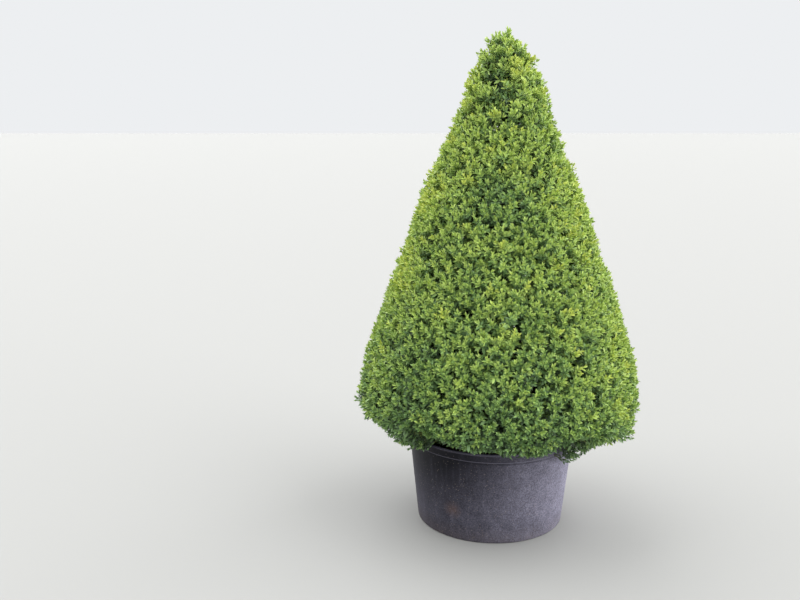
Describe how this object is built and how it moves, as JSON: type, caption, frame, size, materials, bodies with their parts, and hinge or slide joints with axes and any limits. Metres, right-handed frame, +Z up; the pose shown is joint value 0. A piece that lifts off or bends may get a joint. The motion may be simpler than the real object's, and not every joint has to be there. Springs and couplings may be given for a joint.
{
  "type": "boxwood cone topiary in a nursery pot",
  "caption": "Clipped evergreen cone of small-leaved box on one upright trunk, growing in a round tapered plastic pot filled with growing medium, and standing on the pot's flat underside.",
  "frame": {"origin": "centre of the pot's flat underside, on the surface that the pot stands on", "axes": "+Z up along the trunk towards the tip of the cone, -Y towards the side that the picture looks at, +X to the picture's right"},
  "size_m": [1.0742, 1.0757, 1.8115],
  "materials": {
    "pot_plastic": "matte",
    "growing_medium": "matte",
    "bark": "matte",
    "foliage": "matte"
  },
  "bodies": {
    "root": {"pot": "pot_plastic", "growing_medium": "growing_medium", "trunk": "bark", "foliage_skirt": "foliage", "foliage_lower": "foliage", "foliage_middle": "foliage", "foliage_upper": "foliage", "foliage_tip": "foliage"}
  },
  "joints": []
}
